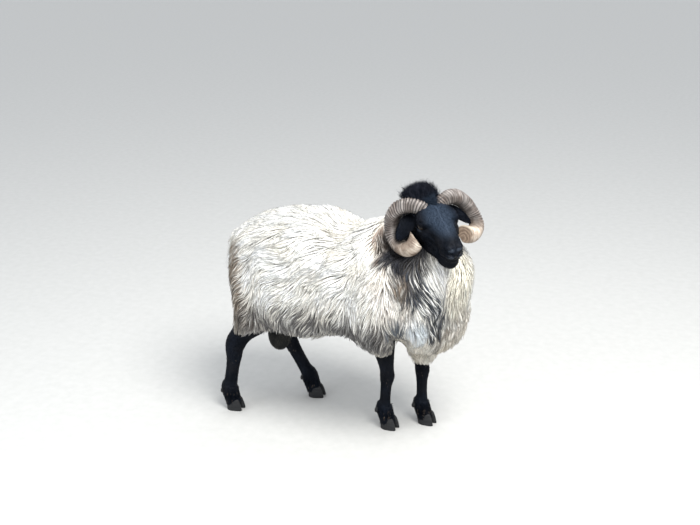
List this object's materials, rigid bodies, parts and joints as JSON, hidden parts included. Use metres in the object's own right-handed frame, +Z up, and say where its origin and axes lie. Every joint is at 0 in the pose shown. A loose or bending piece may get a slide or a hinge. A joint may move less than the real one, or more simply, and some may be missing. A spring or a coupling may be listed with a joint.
{
  "type": "blackface mountain ram",
  "caption": "Still, life-size blackface mountain ram: horned black head turned to its right, long cream fleece, black legs, standing on cloven hooves.",
  "frame": {"origin": "centre of the bounding box in X and Y, on the floor plane under the hooves", "axes": "+X from the rump to the chest, +Y to the animal's left, +Z up"},
  "size_m": [0.8734, 0.4686, 0.8702],
  "materials": {
    "wool": "long wavy matte fleece, cream white with greyer partings",
    "dark_wool": "long matte wool, cream with charcoal streaks",
    "hair": "short glossy black hair",
    "horn": "ridged grey-tan horn, satin",
    "claw": "worn dark horn, satin",
    "eye": "wet and glossy",
    "skin": "bare skin with short down"
  },
  "bodies": {
    "root": {"head": "hair", "neck": "dark_wool", "trunk": "wool", "tail": "wool", "scrotum": "skin", "horn_left": "horn", "ear_left": "hair", "eye_left": "eye", "horn_right": "horn", "ear_right": "hair", "eye_right": "eye", "fore_right_upper": "wool", "fore_right_shin": "hair", "fore_right_claw_outer": "claw", "fore_right_dewclaw_outer": "claw", "fore_right_claw_inner": "claw", "fore_right_dewclaw_inner": "claw", "fore_left_upper": "wool", "fore_left_shin": "hair", "fore_left_claw_outer": "claw", "fore_left_dewclaw_outer": "claw", "fore_left_claw_inner": "claw", "fore_left_dewclaw_inner": "claw", "hind_right_upper": "wool", "hind_right_shin": "hair", "hind_right_claw_outer": "claw", "hind_right_dewclaw_outer": "claw", "hind_right_claw_inner": "claw", "hind_right_dewclaw_inner": "claw", "hind_left_upper": "wool", "hind_left_shin": "hair", "hind_left_claw_outer": "claw", "hind_left_dewclaw_outer": "claw", "hind_left_claw_inner": "claw", "hind_left_dewclaw_inner": "claw"}
  },
  "joints": []
}
